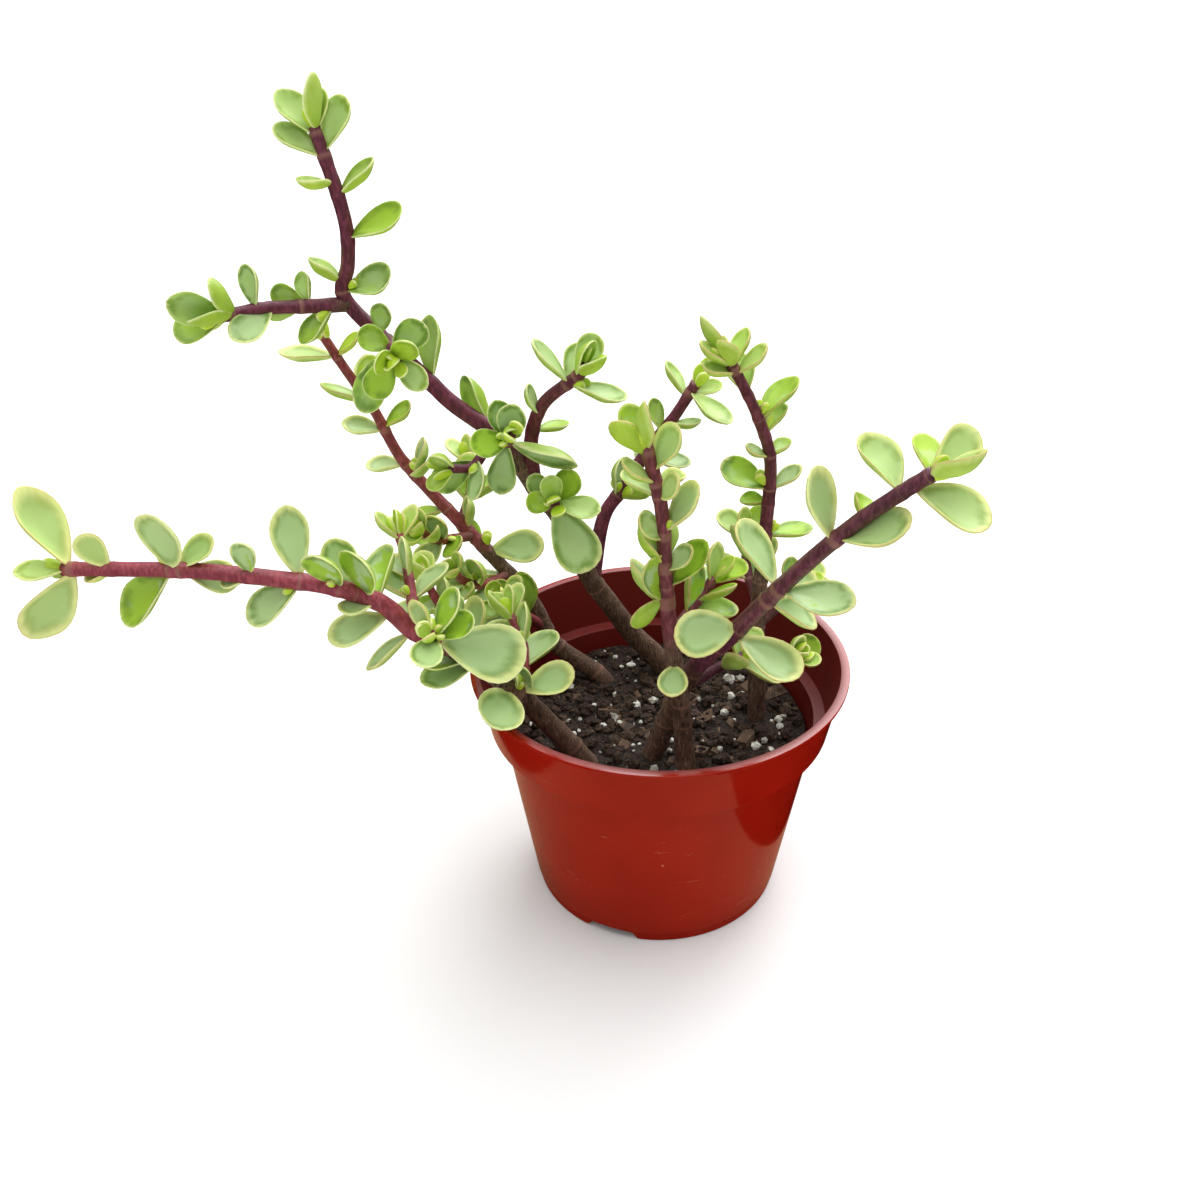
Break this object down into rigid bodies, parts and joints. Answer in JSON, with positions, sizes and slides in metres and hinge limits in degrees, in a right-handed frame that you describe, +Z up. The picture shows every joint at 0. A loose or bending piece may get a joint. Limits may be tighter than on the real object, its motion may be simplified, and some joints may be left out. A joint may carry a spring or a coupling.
{
  "type": "potted succulent shrub",
  "caption": "Variegated succulent shrub with leafy, leaning stems in a round plastic nursery pot filled with soil.",
  "frame": {"origin": "centre of the underside of the pot's floor, on the surface that the pot stands on", "axes": "+Z up; -Y towards the viewer of the picture; +X to that viewer's right, so the long low stem reaches out along -X"},
  "size_m": [0.2292, 0.1225, 0.2311],
  "materials": {
    "pot_plastic": "glossy, thin terracotta-red plastic",
    "soil": "dark moist potting mix with bark chips and white perlite",
    "leafy_stem": "smooth, slightly waxy succulent leaves, green with cream margins, on maroon to brown stems"
  },
  "bodies": {
    "root": {"pot": "pot_plastic", "soil": "soil", "left_stem": "leafy_stem", "second_stem": "leafy_stem", "tall_stem": "leafy_stem", "centre_stem": "leafy_stem", "right_stem": "leafy_stem", "back_stem": "leafy_stem"}
  },
  "joints": []
}
